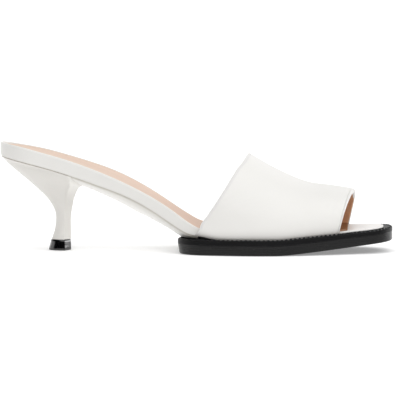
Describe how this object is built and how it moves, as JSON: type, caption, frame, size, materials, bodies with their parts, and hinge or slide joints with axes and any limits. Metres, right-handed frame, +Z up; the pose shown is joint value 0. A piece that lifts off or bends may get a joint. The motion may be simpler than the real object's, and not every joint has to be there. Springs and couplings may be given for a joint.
{
  "type": "heeled mule sandal",
  "caption": "White leather open-toe slip-on sandal with a welted black forefoot sole and a low curved stem heel, for the right foot.",
  "frame": {"origin": "on the floor, under the centre of the shoe's bounding box", "axes": "+X towards the toe, +Y towards the inner side of the foot, +Z up; the forefoot tread and the heel tip stand on Z = 0"},
  "size_m": [0.246, 0.0859, 0.0683],
  "materials": {
    "outsole": "black, smooth, semi-gloss",
    "welt": "black, smooth, stitched along its top",
    "footbed": "white smooth leather, satin",
    "insole_sock": "pale peach lining leather, matte",
    "waist_cover": "white smooth leather, satin",
    "upper": "white smooth leather, satin, brown lining",
    "heel": "white leather drawn over the heel, satin",
    "heel_tip": "black, semi-gloss"
  },
  "bodies": {
    "root": {"outsole": "outsole", "welt": "welt", "footbed": "footbed", "insole_sock": "insole_sock", "waist_cover": "waist_cover", "upper": "upper", "heel": "heel", "heel_tip": "heel_tip"}
  },
  "joints": []
}
